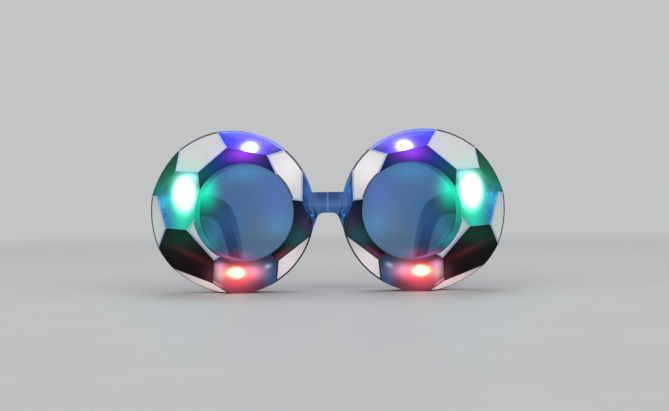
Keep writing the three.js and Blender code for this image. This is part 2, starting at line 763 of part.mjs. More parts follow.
// Temple: stations along its middle line, as shares of its length, of its bow, of the drop from the hinge to
// the floor, of its full height and of its thickness at the hinge. The ear piece is a thick paddle.
const templeShares = [
  { along: 0, bow: 0, drop: 0, height: 1, thick: 1 },
  { along: 0.12, bow: 0.16, drop: 0, height: 1, thick: 1 },
  { along: 0.24, bow: 0.3, drop: 0.01, height: 0.94, thick: 1 },
  { along: 0.4, bow: 0.48, drop: 0.03, height: 0.88, thick: 1.03 },
  { along: 0.55, bow: 0.64, drop: 0.06, height: 0.9, thick: 1.2 },
  { along: 0.66, bow: 0.74, drop: 0.11, height: 0.95, thick: 1.5 },
  { along: 0.74, bow: 0.81, drop: 0.19, height: 1, thick: 1.8 },
  { along: 0.81, bow: 0.865, drop: 0.33, height: 1.03, thick: 1.95 },
  { along: 0.87, bow: 0.91, drop: 0.5, height: 1.04, thick: 2 },
  { along: 0.92, bow: 0.945, drop: 0.7, height: 0.98, thick: 2 },
  { along: 0.96, bow: 0.975, drop: 0.86, height: 0.84, thick: 1.85 },
  { along: 0.98, bow: 0.99, drop: 0.93, height: 0.62, thick: 1.6 },
  { along: 0.992, bow: 1, drop: 0.97, height: 0.34, thick: 1.1 },
];

function templeSection(height, thickness) {
  const halfWide = thickness / 2;
  const halfHigh = height / 2;
  const corner = Math.min(templeCorner, halfHigh / 2);
  const points = [];
  const centres = [
    [halfWide - corner, halfHigh - corner, 0],
    [corner - halfWide, halfHigh - corner, Math.PI / 2],
    [corner - halfWide, corner - halfHigh, Math.PI],
    [halfWide - corner, corner - halfHigh, Math.PI * 1.5],
  ];
  centres.forEach(([x, z, start]) => {
    for (let i = 0; i <= cornerSteps; i += 1) {
      const turn = start + Math.PI / 2 * i / cornerSteps;
      points.push(new THREE.Vector2(x + corner * Math.cos(turn), z + corner * Math.sin(turn)));
    }
  });
  return points;
}

function templeBlade() {
  const frontY = coverBack + gap;
  const fall = rimHeight + hingeRise;
  const middle = templeShares.map(({ along, drop }) => (
    new THREE.Vector2(frontY + along * templeLength, hingeRise - drop * fall)));
  const rings = middle.map((point, i) => {
    const before = middle[Math.max(i - 1, 0)];
    const after = middle[Math.min(i + 1, middle.length - 1)];
    const tangent = new THREE.Vector2().subVectors(after, before).normalize();
    const x = hingeX - templeOffset + templeShares[i].bow * templeBow;
    const { height, thick } = templeShares[i];
    const section = templeSection(height * templeHeight, thick * templeThickness);
    return section.map((spot) => new THREE.Vector3(
      x + spot.x, point.x - tangent.y * spot.y, point.y + tangent.x * spot.y));
  });
  return ringed(rings);
}

function temple() {
  const knuckleLow = hingeRise - knuckleHeight / 2;
  const knuckleHigh = hingeRise + knuckleHeight / 2;
  const inner = hingeX - lugRadius - gap;
  const lugSpace = [
    [knuckleLow - gap - lugHeight - overrun, knuckleLow],
    [knuckleHigh, knuckleHigh + gap + lugHeight + overrun],
  ].map(([low, high]) => block(inner, hingeX + lugRadius + overrun, -blankDepth, hingeBack + lugRadius + gap,
    low, high));
  const knuckle = post(hingeX, hingeBack, lugRadius, knuckleLow, knuckleHigh, roundSegments);
  const web = block(hingeX - templeOffset, hingeX, hingeBack, hingeBack + lugRadius, knuckleLow, knuckleHigh);
  const underFloor = block(-blankSide, blankSide, -blankSide, templeLength + blankSide,
    -rimHeight - templeHeight, -rimHeight);
  return geometryOf(without(without(templeBlade(), lugSpace).add(knuckle).add(web), [
    post(hingeX, hingeBack, pinRadius + gap, knuckleLow - overrun, knuckleHigh + overrun),
    underFloor,
  ]));
}

const doorScrewBack = coverBack + gap + screwHeadHeight;

// The assembly
const glasses = new THREE.Group();

function addPiece(name, geometry, material) {
  geometry.computeVertexNormals();
  const mesh = new THREE.Mesh(geometry, material);
  mesh.name = name;
  glasses.add(mesh);
}

const sidePieces = {
  lens: [lens(), finishes.lensTint],
  back_cover: [backCover(), finishes.darkBlue],
  circuit_board: [circuitBoard(), finishes.board],
  board_screw: [boardScrewPiece(), finishes.steel],
  tact_switch: [tactSwitch(), finishes.blackPlastic],
  push_button: [pushButton(), finishes.buttonWhite],
  led_top: [leggedLed(topLed), finishes.violetLamp],
  led_outer: [geometryOf(led(outerLed)), finishes.greenLamp],
  led_bottom: [leggedLed(bottomLed), finishes.redLamp],
  lead_top: [lead(topLed, topLeadRoute), finishes.leadCover],
  lead_bottom: [lead(bottomLed, bottomLeadRoute), finishes.leadCover],
  coin_cell: [coinCell(), finishes.steel],
  contact_minus: [minusContact(), finishes.brass],
  contact_plus: [plusContact(), finishes.brass],
  battery_door: [batteryDoor(), finishes.darkBlue],
  battery_door_screw: [
    geometryOf(screw(doorTab.x, doorTab.z, doorScrewBack, coverScrewShank, doorScrewLength, screwHeadRadius)),
    finishes.steel,
  ],
  hinge_pin: [hingePin(), finishes.steel],
  temple: [temple(), finishes.darkBlue],
};
screwSpots.forEach(({ name, x, z }) => {
  sidePieces[`cover_screw_${name}`] = [
    geometryOf(screw(x, z, coverBack, coverScrewShank, coverScrewLength, screwHeadRadius)),
    finishes.steel,
  ];
});

addPiece('front_frame', frontFrame(), finishes.clearBlue());
Object.entries(sidePieces).forEach(([name, [geometry, material]]) => {
  const left = placed(geometry);
  addPiece(`left_${name}`, left, material());
  addPiece(`right_${name}`, mirrored(left), material());
});

// The origin lies under the middle of the glasses' box, on the surface they stand on
const box = new THREE.Box3().setFromObject(glasses);
glasses.position.y = -(box.min.y + box.max.y) / 2;

export default glasses;
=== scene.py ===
# Light-up party glasses with two faceted ball fronts. Metres, +Z up, the fronts face -Y.
# Left means the -X side, as seen from in front of the glasses.
import json
import math

import bmesh
import bpy
from mathutils import Matrix, Vector

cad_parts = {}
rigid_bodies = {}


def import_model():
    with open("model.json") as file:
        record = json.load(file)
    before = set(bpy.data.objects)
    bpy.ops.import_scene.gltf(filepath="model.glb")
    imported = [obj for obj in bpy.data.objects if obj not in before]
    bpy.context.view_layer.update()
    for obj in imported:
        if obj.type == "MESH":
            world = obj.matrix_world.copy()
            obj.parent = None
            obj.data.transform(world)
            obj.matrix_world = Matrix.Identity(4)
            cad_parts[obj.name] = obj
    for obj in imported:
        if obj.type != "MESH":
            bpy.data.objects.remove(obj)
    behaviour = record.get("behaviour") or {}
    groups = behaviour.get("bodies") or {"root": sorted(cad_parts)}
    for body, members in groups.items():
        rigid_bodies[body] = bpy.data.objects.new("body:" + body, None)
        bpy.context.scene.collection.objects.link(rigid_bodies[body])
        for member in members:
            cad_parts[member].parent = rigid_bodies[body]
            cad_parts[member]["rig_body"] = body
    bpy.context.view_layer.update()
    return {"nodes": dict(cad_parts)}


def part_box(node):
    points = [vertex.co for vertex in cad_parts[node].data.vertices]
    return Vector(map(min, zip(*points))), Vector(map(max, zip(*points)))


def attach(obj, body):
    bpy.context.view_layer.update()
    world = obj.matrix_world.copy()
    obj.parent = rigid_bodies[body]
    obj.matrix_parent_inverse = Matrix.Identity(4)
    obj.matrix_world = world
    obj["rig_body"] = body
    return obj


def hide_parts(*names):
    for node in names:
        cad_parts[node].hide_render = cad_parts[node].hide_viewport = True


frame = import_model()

MM = 0.001
SIDES = (("left", -1), ("right", 1))
nodes = frame["nodes"]


def linear(hex_colour):
    """An sRGB hex colour as the linear colour that a shader takes."""
    channels = (int(hex_colour[i : i + 2], 16) / 255 for i in (1, 3, 5))
    return [c / 12.92 if c <= 0.04045 else ((c + 0.055) / 1.055) ** 2.4 for c in channels] + [1]


def add(tree, kind, inputs=None, **settings):
    """Adds a node with its settings. An input is a plain value, or one or more outputs to link."""
    node = tree.nodes.new(kind)
    for name, value in settings.items():
        setattr(node, name, value)
    for name, value in (inputs or {}).items():
        for source in value if isinstance(value, list) else [value]:
            if isinstance(source, bpy.types.NodeSocket):
                tree.links.new(source, node.inputs[name])
            else:
                node.inputs[name].default_value = value
    return node


# Places on one side, in millimetres. A ball's middle lies BALL_X from the middle plane and BALL_Z
# above the floor, and its lens opening OPENING_OFFSET from there towards the nose.
BALL_X = 40.2
BALL_Z = 34.1
RIM_RADIUS = 34.6
OPENING_OFFSET = 5.6
OPENING_RADIUS = 20.3
# Along Y: the back of the fronts, the outer face of the covers, and a plane just before the
# buttons' outer faces
BACK_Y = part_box("front_frame")[1].y / MM
COVER_BACK_Y = BACK_Y + 2.3
BUTTON_FACE_Y = COVER_BACK_Y + 1

# The facet chart of one ball front: the finish, the compass angle that a facet faces (0 towards the
# nose, 90 up), how far it leans from straight ahead, and its distance as a share of the rim radius.
# Distances count from the ball's middle, CHART_RISE before the back of the front.
CHART_RISE = 4.0
FACETS = (
    ("white", -121, 8, 0.398),
    ("white", 118, 31, 0.597),
    ("white", 33, 27, 0.555),
    ("white", -37, 38, 0.669),
    ("white", -116, 63, 0.864),
    ("white", -174, 43, 0.734),
    ("clear", 166, 18, 0.466),
    ("black", -134, 27, 0.535),
    ("clear", -76, 23, 0.49),
    ("black", -21, 22, 0.488),
    ("black", 58, 8, 0.357),
    ("clear", 75, 41, 0.692),
    ("clear", 9, 58, 0.852),
    ("black", 148, 49, 0.787),
)
# The front's finishes: 'deep' is a dark copy of the clear plastic that stands for painted shade,
# and 'edge' a pale one that stands for painted light
FINISHES = ("clear", "white", "black", "deep", "edge")

# What is bare beside the white paint, in millimetres: its own margin, the dark bands of painted
# shade within the rim and round the lens opening, and the opening's wall, painted shade too
PAINT_MARGIN = 0.6
RIM_BAND = 1.2
OPENING_BAND = 1.1
WALL_BAND = 0.3
# Rounded edges, in millimetres: of the facets, whose shortest edges are closed up first, and of
# covers, doors and buttons
FACET_EDGE = 0.25
SHORT_EDGE = 0.35
SOFT_EDGE = 0.2
# How close counts as the same: corners, and places on a plane, in millimetres, and directions
SAME_SPOT = 0.001
SAME_PLANE = 0.03
SAME_FACING = 0.9999
# A length that counts as none, in millimetres: the side of a painted area, or a place's distance
# from the outer face of a cover
HARDLY_ANY = 0.02
# Angles between two faces: under FLAT they become one face, past FACET_CREASE a facet's edge is
# rounded, past SHARP another piece's edge, and past CRISP an edge is shaded as one
FLAT = math.radians(0.3)
FACET_CREASE = math.radians(4)
SHARP = math.radians(50)
CRISP = math.radians(35)


def clean_copy(node):
    """A CAD node's mesh with its loose triangles merged and its flat faces joined."""
    bm = bmesh.new()
    bm.from_mesh(nodes[node].data)
    bmesh.ops.remove_doubles(bm, verts=bm.verts, dist=SAME_SPOT * MM)
    bmesh.ops.dissolve_limit(
        bm, angle_limit=FLAT, verts=bm.verts, edges=bm.edges, use_dissolve_boundaries=False
    )
    return bm


def facet_plane(side, facing, lean, share):
    """A facet's outward normal and its distance from the origin, in metres."""
    turn, tilt = math.radians(facing), math.radians(lean)
    along = math.sin(tilt) * math.cos(turn)
    normal = Vector((-side * along, -math.cos(tilt), math.sin(tilt) * math.sin(turn)))
    middle = Vector((side * BALL_X, BACK_Y - CHART_RISE, BALL_Z)) * MM
    return normal, normal.dot(middle) + share * RIM_RADIUS * MM


def facets_of(bm):
    """Each facet's face with its finish."""
    found = []
    for _, side in SIDES:
        for finish, *place in FACETS:
            normal, distance = facet_plane(side, *place)
            near = [
                f
                for f in bm.faces
                if f.normal.dot(normal) > SAME_FACING
                and abs(f.verts[0].co.dot(normal) - distance) < SAME_PLANE * MM
                and f.calc_center_median().x * side > 0
            ]
            found.append((max(near, key=lambda f: f.calc_area()), finish))
    return found


def meeting(a, b, normal, height):
    """Where two sides of a flat outline meet, each given as its inward normal and its distance."""
    spot = a[1] * b[0].cross(normal) + b[1] * normal.cross(a[0]) + height * a[0].cross(b[0])
    return spot / a[0].dot(b[0].cross(normal))


def set_in(bm, face, margin):
    """Splits a flat face into an inner face, its sides set in by the margin, and its bands."""
    normal = face.normal.copy()
    corners = [v.co.copy() for v in face.verts]
    count = len(corners)
    height = normal.dot(corners[0])
    sides = []
    for i, corner in enumerate(corners):
        inward = normal.cross((corners[(i + 1) % count] - corner).normalized())
        sides.append((inward, inward.dot(corner) + margin))
    kept = list(range(count))
    while True:
        meets = [
            meeting(sides[kept[k - 1]], sides[kept[k]], normal, height) for k in range(len(kept))
        ]
        runs = [
            (meets[(k + 1) % len(kept)] - meets[k]).dot(sides[kept[k]][0].cross(normal))
            for k in range(len(kept))
        ]
        shortest = min(range(len(kept)), key=runs.__getitem__)
        if runs[shortest] > HARDLY_ANY * MM:
            break
        kept.pop(shortest)
    spots = [bm.verts.new(spot) for spot in meets]
    ring = [spots[next((k for k, side in enumerate(kept) if side >= i), 0)] for i in range(count)]
    old = list(face.verts)
    bm.faces.remove(face)
    bands = []
    for i in range(count):
        j = (i + 1) % count
        inner = [ring[j], ring[i]] if ring[i] != ring[j] else [ring[i]]
        bands.append(bm.faces.new([old[i], old[j], *inner]))
    return bm.faces.new(spots), bands


def rounded(bm, edges, reach):
    """Rounds edges in two steps, as a mould leaves them, and gives the new faces."""
    return bmesh.ops.bevel(
        bm, geom=edges, offset=reach * MM, offset_type="OFFSET", segments=2, profile=0.5,
        affect="EDGES", clamp_overlap=False, loop_slide=True, material=-1,
    )["faces"]


def soften(bm, keep):
    """Rounds the sharp outward edges whose middles the test keeps."""
    edges = [
        e
        for e in bm.edges
        if len(e.link_faces) == 2
        and e.calc_face_angle_signed() > SHARP
        and keep((e.verts[0].co + e.verts[1].co) / 2)
    ]
    rounded(bm, edges, SOFT_EDGE)


def at_back(spot):
    """On the outer face of a back cover or a battery door."""
    return abs(spot.y - COVER_BACK_Y * MM) < HARDLY_ANY * MM


def at_button_face(spot):
    """On the outer face of a push button."""
    return spot.y > BUTTON_FACE_Y * MM


def ball_place(spot):
    """A place in millimetres from its ball's middle: towards the nose, and up."""
    return BALL_X - abs(spot.x) / MM, spot.z / MM - BALL_Z


def from_middle(face):
    """How far a face lies from its ball's middle, and from its lens opening's, in millimetres."""
    across, up = ball_place(face.calc_center_median())
    return math.hypot(across, up), math.hypot(across - OPENING_OFFSET, up)


def piece_of(bm, name, materials):
    """Makes an object of a mesh."""
    mesh = bpy.data.meshes.new(name)
    bmesh.ops.recalc_face_normals(bm, faces=bm.faces)
    bm.to_mesh(mesh)
    bm.free()
    for material in materials:
        mesh.materials.append(material)
    piece = bpy.data.objects.new(name, mesh)
    bpy.context.scene.collection.objects.link(piece)
    return piece


def fitted(piece, slot, *stands_for):
    """Shades a finished piece evenly, with crisp edges. It stands for CAD nodes, on their body."""
    mesh = piece.data
    mesh.polygons.foreach_set("use_smooth", [True] * len(mesh.polygons))
    mesh.set_sharp_from_angle(angle=CRISP)
    shade = piece.modifiers.new("even_faces", "WEIGHTED_NORMAL")
    shade.keep_sharp = True
    shade.weight = 100
    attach(piece, nodes[stands_for[0]]["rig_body"])
    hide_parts(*stands_for)


# Painted lamp light: the lamps' light in the plastic, with highlights and reflections, painted on a
# surface as soft glowing oval patches, the same on both sides. Each is its middle and its two
# reaches in millimetres (towards the nose, and up, from the ball's middle), its turn in degrees,
# its colour and its strength.
CLEAR_GLOW = (
    # Round the violet lamp at the top
    ((7.9, 26.7), (1.9, 1.5), 0, "#FFFFFF", 9.0),
    ((7.9, 26.7), (3.4, 2.6), 0, "#A6E4FF", 0.8),
    ((8.2, 26.7), (6.4, 4.4), 0, "#9A4DFF", 0.75),
    ((4.0, 26.0), (13.0, 5.0), 0, "#2A2AE0", 0.5),
    ((-1.0, 31.0), (7.0, 3.4), 0, "#3030F0", 0.3),
    # Round the green lamp at the outer side
    ((-19.2, 8.0), (2.8, 4.2), 0, "#FFFFFF", 9.0),
    ((-19.4, 7.0), (5.2, 8.0), 0, "#10F0B0", 0.95),
    ((-18.6, 1.5), (7.5, 12.0), 0, "#00A880", 0.5),
    ((-15.6, 14.6), (2.6, 2.2), 0, "#A8F0E4", 0.55),
    ((-20.5, -6.5), (4.5, 4.5), 0, "#00E0B8", 0.22),
    ((-28.6, 4.6), (2.6, 3.0), 0, "#10B0C0", 0.45),
    ((-27.5, -2.0), (4.2, 9.0), 12, "#0854B0", 0.4),
    # Round the red lamp at the bottom
    ((1.4, -25.1), (2.7, 1.55), 0, "#FFE898", 3.2),
    ((1.6, -25.1), (6.0, 3.8), 0, "#FF4A38", 0.9),
    ((7.8, -25.8), (5.0, 3.0), 8, "#F06A78", 0.45),
    ((8.8, -24.4), (4.2, 2.8), 0, "#CCA4B8", 0.4),
    ((-5.0, -25.4), (2.2, 3.0), 0, "#C8CCC4", 0.44),
    ((-4.8, -22.2), (2.4, 1.6), 0, "#D080B8", 0.5),
    ((15.0, -25.6), (3.4, 4.8), 0, "#386890", 0.4),
    # A small painted highlight beside the red lamp, towards the nose
    ((14.8, -22.6), (1.5, 0.9), 25, "#C8D2EA", 0.35),
    ((0.6, -30.0), (8.0, 3.4), 0, "#D05060", 0.48),
    # At the nose and in the bridge: painted light from all three lamps, and a painted highlight
    # along the bridge's ridge
    ((32.0, 8.0), (3.0, 6.0), 0, "#4C70A8", 0.3),
    ((40.2, 2.9), (9.0, 0.75), 0, "#6AA0E0", 0.12),
    ((40.2, 6.4), (8.0, 1.8), 0, "#2058B0", 0.1),
    ((33.4, 3.0), (1.3, 5.0), 0, "#3C88B8", 0.16),
)
# Patches of painted glints, at the outer side and at the nose: they show only where a noise rises,
# standing for small folds of the plastic that catch light. A glint is SPARK_WIDTH millimetres wide,
# and shows where the noise rises through SPARK_RISE.
CLEAR_PAINTED_GLINTS = (
    ((-28.0, 1.0), (3.2, 8.0), 12, "#8CC4FF", 0.24),
    ((31.0, 6.0), (2.6, 6.0), 0, "#7FA8F0", 0.2),
)
SPARK_WIDTH = 0.7
SPARK_RISE = (0.52, 0.8)
# Painted light on the black paint: the lamps' glow, and painted reflections such as the reddish
# streaks across the lower facets
BLACK_GLOW = (
    ((5.5, 24.5), (6.0, 3.4), 0, "#B048FF", 0.75),
    ((1.0, 23.5), (9.0, 5.0), 14, "#3018D0", 0.4),
    ((-6.0, 20.0), (7.0, 4.5), 35, "#0A4C88", 0.4),
    ((-13.5, 15.5), (6.5, 5.5), 0, "#007858", 0.45),
    ((13.0, 20.0), (5.0, 4.0), 0, "#2C40A0", 0.4),
    ((-26.5, 14.0), (6.0, 11.0), -30, "#008A66", 0.46),
    ((-30.5, 9.0), (3.0, 4.0), 0, "#00A0A0", 0.32),
    ((-24.0, 9.5), (3.6, 5.0), 0, "#10C890", 0.55),
    ((-21.0, -10.0), (9.0, 4.5), 0, "#06503C", 0.42),
    ((-17.3, -17.3), (8.5, 1.3), -25, "#7C2C3C", 0.22),
    ((-14.0, -19.0), (11.0, 6.5), 0, "#2C0E14", 0.35),
    ((-8.0, -27.0), (3.6, 4.6), 0, "#8A4A58", 0.33),
    ((29.6, 1.6), (4.5, 4.5), 0, "#161C4C", 0.5),
    ((30.6, -5.0), (3.6, 4.6), 0, "#4C3058", 0.4),
    ((27.6, -11.0), (5.6, 5.0), 0, "#1C6068", 0.52),
    ((20.8, -18.4), (5.0, 1.4), 36, "#A04068", 0.45),
)
# Painted light on the white paint: the lamps' tints, a painted highlight on the upper facet by the
# nose, and pinkish painted light that brightens the lower facets
WHITE_GLOW = (
    ((-18.5, 15.0), (9.0, 7.0), 0, "#00D098", 0.2),
    ((-2.0, 27.0), (6.0, 6.0), 0, "#6450FF", 0.1),
    ((23.5, 18.0), (8.0, 8.0), 0, "#FFF0F6", 0.3),
    ((-15.0, -10.0), (6.0, 7.0), 0, "#40D8C0", 0.16),
    ((-8.0, -29.0), (15.0, 8.0), 0, "#F4CCCC", 0.62),
    ((24.0, -22.0), (10.0, 11.0), 0, "#ECD4DA", 0.48),
    ((-32.0, -7.0), (5.0, 12.0), 0, "#C0F0E4", 0.16),
)
# Painted lamp light on the dark copy of the plastic
SHADED_PLASTIC_GLOW = (
    ((-13.8, 7.5), (4.0, 8.0), 0, "#00C490", 0.55),
    ((-15.0, -0.5), (5.0, 9.0), 0, "#00A888", 0.6),
    ((-11.0, -12.5), (4.0, 5.0), 0, "#20A0A8", 0.38),
    ((-3.2, -19.4), (3.6, 3.0), 0, "#C04080", 0.5),
    ((0.0, 20.0), (9.0, 3.5), 0, "#1C2C8C", 0.3),
    ((4.0, -20.0), (8.0, 3.5), 0, "#B83046", 0.3),
)
EDGE_GLOW = (
    ((4.0, 24.0), (16.0, 9.0), 0, "#A8A4FF", 0.4),
    ((-19.0, 8.0), (10.0, 13.0), 0, "#50F0C8", 0.5),
    ((2.0, -25.0), (11.0, 7.0), 0, "#FF8C90", 0.4),
)
LENS_GLOW = (
    ((-12.8, 9.7), (4.6, 6.7), 0, "#00D29E", 0.9),
    ((-9.8, -13.0), (4.0, 5.0), 0, "#00987C", 0.2),
    ((-3.0, -5.0), (6.5, 9.0), 0, "#00345A", 0.8),
    ((4.0, 17.0), (9.0, 4.0), 0, "#0898C8", 0.16),
    ((17.5, 7.0), (7.0, 9.0), 0, "#4034C8", 0.13),
    ((19.0, -5.5), (6.0, 6.0), 0, "#30788C", 0.25),
    ((2.6, -19.4), (5.0, 2.6), 0, "#D03040", 0.24),
)

# The base colours change in the same kind of patch: painted lamp light where plastic or paint takes
# on a lamp's colour, and painted shade where it lies over something dark. The last number says how
# much of the colour shows in the middle.
CLEAR_TINTS = (
    ((4.0, 28.5), (17.0, 9.0), 0, "#3038D0", 0.9),
    ((-18.0, 1.0), (9.0, 13.0), 0, "#109C88", 0.8),
    ((-28.0, -2.0), (4.0, 9.0), 12, "#043078", 0.94),
    ((-0.6, -29.0), (11.0, 8.0), 0, "#98485C", 0.75),
    ((14.5, -25.0), (3.6, 5.0), 0, "#4A6494", 0.8),
    # The bridge is solid, so its blue is deeper, with bands of painted shade and painted highlight
    # as its top slopes, and a pale painted highlight down its middle where the mould parts
    ((40.2, 2.0), (13.0, 16.0), 0, "#3668AA", 1.0),
    ((40.2, 6.6), (11.0, 1.7), 0, "#16407C", 0.95),
    ((33.4, 3.0), (1.4, 5.5), 0, "#2C6690", 0.85),
    ((40.2, -0.6), (11.0, 2.0), 0, "#2C78BC", 0.9),
    ((40.2, 3.0), (0.35, 9.0), 0, "#86B4E4", 0.7),
)
WHITE_TINTS = (((-18.5, 13.0), (9.0, 7.0), 0, "#90DCCC", 0.8),)
# On the lens: painted shade where the temple lies behind it, painted green lamp light, and greyer
# lower down towards the nose
LENS_TINTS = (
    ((8.5, -11.0), (13.0, 9.0), 0, "#7090AC", 0.7),
    ((-4.5, -4.5), (9.0, 12.0), 0, "#1E6A9C", 0.8),
    ((-13.5, 1.0), (6.0, 11.0), 0, "#0E7860", 0.85),
    ((-5.6, -13.0), (3.4, 5.0), 0, "#46507C", 0.8),
)

# A noise lies mostly between these values, which count as its lowest and highest
NOISE_SPAN = (0.3, 0.7)
# The gloss varies in patches this many times narrower than the colour does
GLOSS_FINER = 3


def reach_of(tree, middle, reaches, turn):
    """How far into a soft oval patch a place is: 1 in its middle, fading to 0.

    The sides are folded into one. Along Y a patch hardly fades, so it goes right through."""
    place = add(tree, "ShaderNodeTexCoord").outputs["Object"]
    folded = add(tree, "ShaderNodeVectorMath", {0: place}, operation="ABSOLUTE").outputs[0]
    centred = {
        "Vector": folded,
        "Location": ((BALL_X - middle[0]) * MM, 0, (BALL_Z + middle[1]) * MM),
        "Rotation": (0, math.radians(turn), 0),
        "Scale": (reaches[0] * MM, 1, reaches[1] * MM),
    }
    near = add(tree, "ShaderNodeMapping", centred, vector_type="TEXTURE").outputs[0]
    square = add(
        tree, "ShaderNodeVectorMath", {0: near, 1: near}, operation="DOT_PRODUCT"
    ).outputs["Value"]
    fall = add(tree, "ShaderNodeMath", {0: square, 1: -1.0}, operation="MULTIPLY").outputs[0]
    return add(tree, "ShaderNodeMath", {0: fall}, operation="EXPONENT").outputs[0]


def grain(tree, millimetres, detail=2.0):
    """A noise whose blotches are about that many millimetres wide."""
    place = add(tree, "ShaderNodeTexCoord").outputs["Object"]
    noise = {"Vector": place, "Scale": 1 / (millimetres * MM), "Detail": detail}
    return add(tree, "ShaderNodeTexNoise", noise).outputs[0]


def spread(tree, value, low, high):
    """A noise as a value from low to high."""
    ends = {0: value, 1: NOISE_SPAN[0], 2: NOISE_SPAN[1], 3: low, 4: high}
    return add(tree, "ShaderNodeMapRange", ends).outputs[0]


def glow(tree, patches, sparks):
    """A colour with the sum of the patches of painted lamp light."""
    total = None
    for place in (*patches, *sparks):
        *oval, colour, strength = place
        share = reach_of(tree, *oval)
        if place in sparks:
            ends = {0: grain(tree, SPARK_WIDTH, 0.0), 1: SPARK_RISE[0], 2: SPARK_RISE[1]}
            speck = add(tree, "ShaderNodeMapRange", ends).outputs[0]
            share = add(
                tree, "ShaderNodeMath", {0: share, 1: speck}, operation="MULTIPLY"
            ).outputs[0]
        tint = [c * strength for c in linear(colour)[:3]]
        patch = add(
            tree, "ShaderNodeVectorMath", {0: tint, "Scale": share}, operation="SCALE"
        ).outputs[0]
        if total:
            patch = add(
                tree, "ShaderNodeVectorMath", {0: total, 1: patch}, operation="ADD"
            ).outputs[0]
        total = patch
    return total


def dressed(
    name, colours, blotch, roughness, relief, ripple, glows=None, sparks=(), tints=(), **values
):
    """A surface of two near colours in blotches, with uneven gloss, a fine relief, and painted lamp
    light and tints.

    In millimetres: the width of a blotch, the height of the relief and the width of a ripple in it.
    The other values go to the shader's sockets of those names."""
    made = bpy.data.materials.new(name)
    made.use_nodes = True
    tree = made.node_tree
    shader = tree.nodes["Principled BSDF"]
    low, high = colours
    blotches = spread(tree, grain(tree, blotch), 0, 1)
    tone = add(
        tree, "ShaderNodeMix", {0: blotches, 6: linear(low), 7: linear(high)}, data_type="RGBA"
    ).outputs[2]
    for *oval, colour, most in tints:
        share = add(
            tree, "ShaderNodeMath", {0: reach_of(tree, *oval), 1: most}, operation="MULTIPLY"
        ).outputs[0]
        tone = add(
            tree, "ShaderNodeMix", {0: share, 6: tone, 7: linear(colour)}, data_type="RGBA"
        ).outputs[2]
    tree.links.new(tone, shader.inputs["Base Color"])
    gloss = spread(tree, grain(tree, blotch / GLOSS_FINER), *roughness)
    tree.links.new(gloss, shader.inputs["Roughness"])
    bump = {"Strength": 1.0, "Distance": relief * MM, "Height": grain(tree, ripple)}
    tree.links.new(add(tree, "ShaderNodeBump", bump).outputs[0], shader.inputs["Normal"])
    if glows:
        tree.links.new(glow(tree, glows, sparks), shader.inputs["Emission Color"])
        shader.inputs["Emission Strength"].default_value = 1.0
    for socket, value in values.items():
        shader.inputs[socket.replace("_", " ")].default_value = value
    return made


# Clear blue polystyrene, injection moulded in a polished mould: glassy, with the lamps' colours
# painted into it as glow and tints, and painted shade and highlights on the bridge. The relief is
# the slow ripple of the moulding, drawn 5 mm wide.
clear_blue = dressed(
    "moulded_clear_blue_polystyrene", ("#5288C8", "#5E94D2"),
    blotch=9, roughness=(0.03, 0.07), relief=0.01, ripple=5,
    glows=CLEAR_GLOW, sparks=CLEAR_PAINTED_GLINTS, tints=CLEAR_TINTS, Transmission_Weight=1.0, IOR=1.59,
)
# The same moulding where it is thick or lies behind paint, at the rim and in the lens opening,
# drawn as a dark copy that lets no light through: painted shade, still glossy, with painted light
# of the lamps beside it
shaded_blue_plastic = dressed(
    "moulded_deep_blue_polystyrene", ("#10203F", "#152748"),
    blotch=6, roughness=(0.08, 0.14), relief=0.008, ripple=4, glows=SHADED_PLASTIC_GLOW, IOR=1.59,
)
# Its bare edges between painted facets, where the light gathered inside shows: painted light, as a
# pale base colour like frosted glass and as lamp glow
painted_light_edge = dressed(
    "bare_moulded_polystyrene_edge", ("#A6B2D6", "#B4BEDE"),
    blotch=3, roughness=(0.12, 0.2), relief=0.006, ripple=2, glows=EDGE_GLOW, IOR=1.59,
)
# White enamel, sprayed on the facets: even and glossy, with a very slight orange peel; greenish by
# the green lamp and pinkish by the red one, with a highlight by the nose, all painted light
white_paint = dressed(
    "sprayed_gloss_white_enamel", ("#D6D8D8", "#DEDFDF"),
    blotch=6, roughness=(0.18, 0.26), relief=0.01, ripple=1.4,
    glows=WHITE_GLOW, tints=WHITE_TINTS, Coat_Weight=0.5, Coat_Roughness=0.08, IOR=1.5,
)
# Black enamel, sprayed likewise; the lamps' colours on it are painted glow and painted reflections
black_paint = dressed(
    "sprayed_gloss_black_enamel", ("#050607", "#090A0C"),
    blotch=6, roughness=(0.06, 0.12), relief=0.01, ripple=1.4,
    glows=BLACK_GLOW, Specular_IOR_Level=0.12, IOR=1.5,
)
# Tinted acrylic, cast between polished plates: smooth as glass, seen through; greener beside the
# green lamp and darker over the temple behind it, as painted lamp light and painted shade
lens_plastic = dressed(
    "cast_blue_grey_acrylic", ("#5C8BC2", "#6190C6"),
    blotch=12, roughness=(0.015, 0.03), relief=0.004, ripple=8,
    glows=LENS_GLOW, tints=LENS_TINTS, Transmission_Weight=1.0, IOR=1.49,
)
# Dark blue ABS, moulded against a finely sparked mould: satin, its grain drawn at 0.5 mm, coarser
# than real
dark_blue = dressed(
    "spark_textured_dark_blue_abs", ("#112750", "#173160"),
    blotch=5, roughness=(0.26, 0.36), relief=0.03, ripple=0.5, IOR=1.54,
)
# See-through navy polystyrene, polished: light comes through the thin temples
temple_plastic = dressed(
    "moulded_see_through_navy_polystyrene", ("#0F5290", "#165D9A"),
    blotch=9, roughness=(0.05, 0.1), relief=0.008, ripple=5, Transmission_Weight=0.85, IOR=1.59,
)
# Glass epoxy board under green solder mask: satin, mottled by the weave
laminate = dressed(
    "solder_masked_glass_epoxy", ("#0E4A2A", "#145733"),
    blotch=2, roughness=(0.3, 0.45), relief=0.02, ripple=0.6, IOR=1.55,
)
